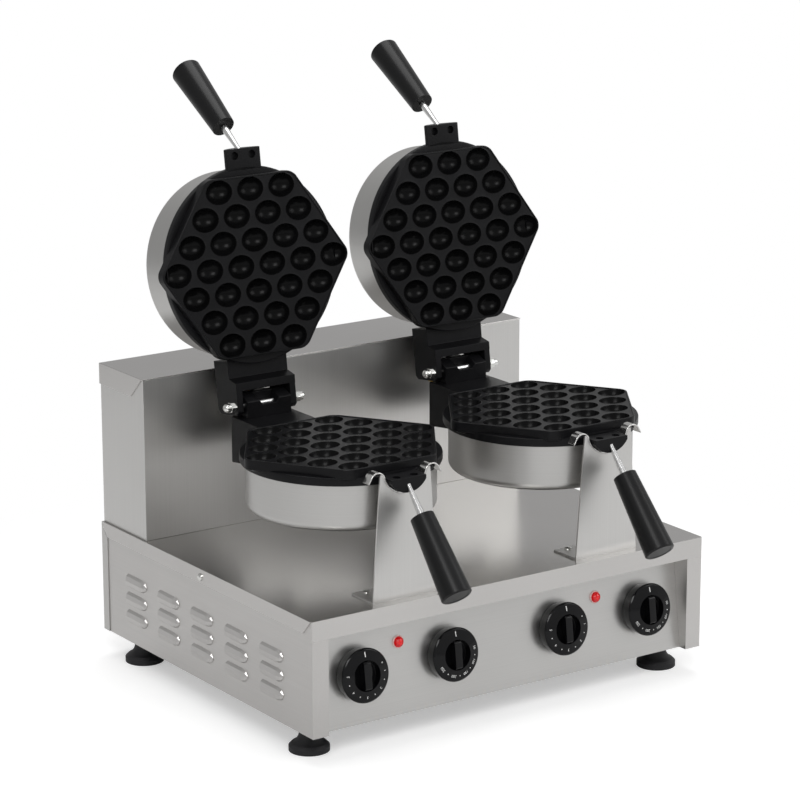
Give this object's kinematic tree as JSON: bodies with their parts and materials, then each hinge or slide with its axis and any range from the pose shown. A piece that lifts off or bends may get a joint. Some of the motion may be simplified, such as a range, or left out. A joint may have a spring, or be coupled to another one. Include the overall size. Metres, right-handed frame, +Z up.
{
  "type": "egg waffle pan",
  "caption": "Countertop electric egg-waffle machine: hinged cast irons with oval cavities, turned by long grips on a steel cabinet with timers and thermostats.",
  "frame": {"origin": "on the surface that the feet stand on, below the middle of the whole machine's width and depth with the lids open", "axes": "+X to the right seen from the front, +Y from the front to the rear, +Z up"},
  "size_m": [0.5256, 0.5448, 0.6734],
  "materials": {
    "stainless_sheet": "brushed stainless sheet, satin",
    "satin_cup": "fine satin stainless",
    "polished_strip": "polished stainless",
    "coated_casting": "cast aluminium with a black non-stick coat, half gloss",
    "handle_chrome": "bright chrome",
    "grip_black": "black heat-proof moulding, satin",
    "knob_black": "gloss black",
    "foot_black": "matt black rubber",
    "lens_red": "glossy clear red",
    "lamp_body": "pale moulding",
    "switch_case": "pale moulding",
    "steel_fastener": "plated steel",
    "shaft_steel": "turned steel",
    "bearing_brass": "turned brass",
    "heater_steel": "heat-stained steel",
    "gland_black": "matt black nylon"
  },
  "bodies": {
    "base": {"worktop": "stainless_sheet", "left_side_panel": "stainless_sheet", "right_side_panel": "stainless_sheet", "rear_panel": "stainless_sheet", "bottom_cover": "stainless_sheet", "feet": "foot_black", "foot_studs": "steel_fastener", "control_panel": "stainless_sheet", "timers": "switch_case", "thermostats": "switch_case", "lamp_lenses": "lens_red", "lamp_bodies": "lamp_body", "rear_housing": "stainless_sheet", "rear_housing_lid": "stainless_sheet", "terminal_block": "switch_case", "cable_gland": "gland_black", "bracket_screws": "steel_fastener", "flap_screws": "steel_fastener", "left_saddle_bracket": "stainless_sheet", "left_saddle_strip": "polished_strip", "left_shaft_bearing": "bearing_brass", "right_saddle_bracket": "stainless_sheet", "right_saddle_strip": "polished_strip", "right_shaft_bearing": "bearing_brass"},
    "left_pan": {"left_lower_plate": "coated_casting", "left_lower_cup": "satin_cup", "left_lower_heater": "heater_steel", "left_lower_rod": "handle_chrome", "left_lower_grip": "grip_black", "left_shaft": "shaft_steel", "left_shaft_collar": "shaft_steel"},
    "left_lid": {"left_upper_plate": "coated_casting", "left_upper_cup": "satin_cup", "left_upper_heater": "heater_steel", "left_upper_rod": "handle_chrome", "left_upper_grip": "grip_black", "left_hinge_pin": "handle_chrome", "left_acorn_nuts": "handle_chrome"},
    "right_pan": {"right_lower_plate": "coated_casting", "right_lower_cup": "satin_cup", "right_lower_heater": "heater_steel", "right_lower_rod": "handle_chrome", "right_lower_grip": "grip_black", "right_shaft": "shaft_steel", "right_shaft_collar": "shaft_steel"},
    "right_lid": {"right_upper_plate": "coated_casting", "right_upper_cup": "satin_cup", "right_upper_heater": "heater_steel", "right_upper_rod": "handle_chrome", "right_upper_grip": "grip_black", "right_hinge_pin": "handle_chrome", "right_acorn_nuts": "handle_chrome"},
    "left_timer_dial": {"left_timer_knob": "knob_black", "left_timer_spindle": "shaft_steel"},
    "left_thermostat_dial": {"left_thermostat_knob": "knob_black", "left_thermostat_spindle": "shaft_steel"},
    "right_timer_dial": {"right_timer_knob": "knob_black", "right_timer_spindle": "shaft_steel"},
    "right_thermostat_dial": {"right_thermostat_knob": "knob_black", "right_thermostat_spindle": "shaft_steel"}
  },
  "joints": [
    {"name": "left_pan_turn", "type": "hinge", "parent": "base", "child": "left_pan", "pos_m": [-0.1335, -0.04603, 0.3005], "axis": [0, -1, 0], "range_deg": [0, 20]},
    {"name": "left_lid_hinge", "type": "hinge", "parent": "left_pan", "child": "left_lid", "pos_m": [-0.1335, 0.10697, 0.311], "axis": [1, 0, 0], "range_deg": [0, 98]},
    {"name": "right_pan_turn", "type": "hinge", "parent": "base", "child": "right_pan", "pos_m": [0.1335, -0.04603, 0.3005], "axis": [0, 1, 0], "range_deg": [0, 20]},
    {"name": "right_lid_hinge", "type": "hinge", "parent": "right_pan", "child": "right_lid", "pos_m": [0.1335, 0.10697, 0.311], "axis": [1, 0, 0], "range_deg": [0, 98]},
    {"name": "left_timer_turn", "type": "hinge", "parent": "base", "child": "left_timer_dial", "pos_m": [-0.19, -0.1626, 0.0834], "axis": [0, 0.9914, -0.1305], "range_deg": [0, 300]},
    {"name": "left_thermostat_turn", "type": "hinge", "parent": "base", "child": "left_thermostat_dial", "pos_m": [-0.074, -0.1626, 0.0834], "axis": [0, 0.9914, -0.1305], "range_deg": [0, 270]},
    {"name": "right_timer_turn", "type": "hinge", "parent": "base", "child": "right_timer_dial", "pos_m": [0.074, -0.1626, 0.0834], "axis": [0, 0.9914, -0.1305], "range_deg": [0, 300]},
    {"name": "right_thermostat_turn", "type": "hinge", "parent": "base", "child": "right_thermostat_dial", "pos_m": [0.19, -0.1626, 0.0834], "axis": [0, 0.9914, -0.1305], "range_deg": [0, 270]}
  ]
}
